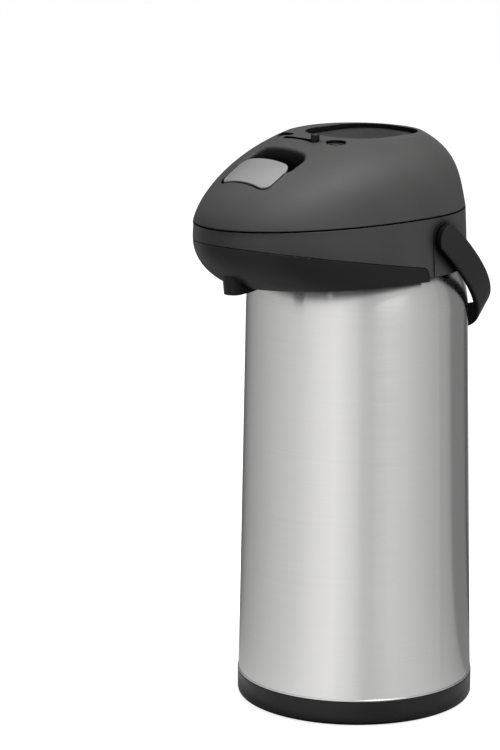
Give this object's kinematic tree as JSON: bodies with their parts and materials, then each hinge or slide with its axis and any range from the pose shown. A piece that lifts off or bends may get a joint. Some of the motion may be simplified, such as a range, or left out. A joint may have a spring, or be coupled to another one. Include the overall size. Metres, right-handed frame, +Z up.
{
  "type": "airpot",
  "caption": "Pump airpot: a steel-jacketed vacuum flask on a swivel foot, with a spouted egg-shaped head, a hinged pump lid, a latch, a lock knob and a bail handle.",
  "frame": {"origin": "on the axis of the steel jacket, at the table", "axes": "+Z up along the jacket's axis, -Y towards the spout, +X to the right-hand handle pivot of someone who stands behind the pot"},
  "size_m": [0.167, 0.2428, 0.41],
  "materials": {
    "black_plastic": "satin",
    "jacket_steel": "brushed",
    "grey_plastic": "satin",
    "clear_plastic": "glossy",
    "silvered_glass": "polished",
    "rubber": "matte",
    "pale_rubber": "matte",
    "spring_steel": "satin"
  },
  "bodies": {
    "foot": {"foot_ring": "rubber", "turntable": "black_plastic", "swivel_pin": "spring_steel"},
    "pot": {"base_cup": "black_plastic", "steel_jacket": "jacket_steel", "flask_outer_glass": "silvered_glass", "flask_inner_glass": "silvered_glass", "flask_cushion": "rubber", "neck_gasket": "pale_rubber", "collar": "black_plastic", "spout_hood": "black_plastic", "hood_screws": "spring_steel", "delivery_pipe": "clear_plastic", "pipe_seal": "pale_rubber", "riser_holder": "clear_plastic", "riser_tube": "clear_plastic", "handle_bracket_left": "black_plastic", "handle_bracket_right": "black_plastic", "handle_pins": "black_plastic", "hinge_pin": "spring_steel"},
    "handle": {"bail_handle": "black_plastic"},
    "lid": {"lid_cover": "black_plastic", "lid_base": "black_plastic", "lid_gasket": "pale_rubber", "air_valve": "pale_rubber", "lid_screws": "spring_steel", "bellows": "clear_plastic", "pump_spring": "spring_steel", "latch_pin": "spring_steel", "latch_spring": "spring_steel", "lock_guide": "black_plastic"},
    "button": {"pump_button": "black_plastic"},
    "lock": {"lock_slider": "black_plastic"},
    "latch": {"latch_lever": "grey_plastic"}
  },
  "joints": [
    {"name": "pot_swivel", "type": "hinge", "parent": "foot", "child": "pot", "pos_m": [0, 0, 0], "axis": [0, 0, 1], "continuous": true},
    {"name": "handle_swing", "type": "hinge", "parent": "pot", "child": "handle", "pos_m": [0, 0.006, 0.3383], "axis": [1, 0, 0], "range_deg": [0, 155]},
    {"name": "lid_hinge", "type": "hinge", "parent": "pot", "child": "lid", "pos_m": [0, 0.0802, 0.353], "axis": [-1, 0, 0], "range_deg": [0, 85]},
    {"name": "pump_stroke", "type": "slide", "parent": "lid", "child": "button", "axis": [0, 0, -1], "range_m": [0, 0.026], "stiffness_N_per_m": 300, "springref_m": -0.012, "deforming": ["bellows", "pump_spring"]},
    {"name": "latch_lift", "type": "hinge", "parent": "lid", "child": "latch", "pos_m": [0, -0.10981, 0.3756], "axis": [1, 0, 0], "range_deg": [0, 12], "stiffness_Nm_per_rad": 0.06, "springref_deg": -17.19},
    {"name": "lock_slide", "type": "slide", "parent": "lid", "child": "lock", "axis": [-1, 0, 0], "range_m": [0, 0.026]}
  ]
}
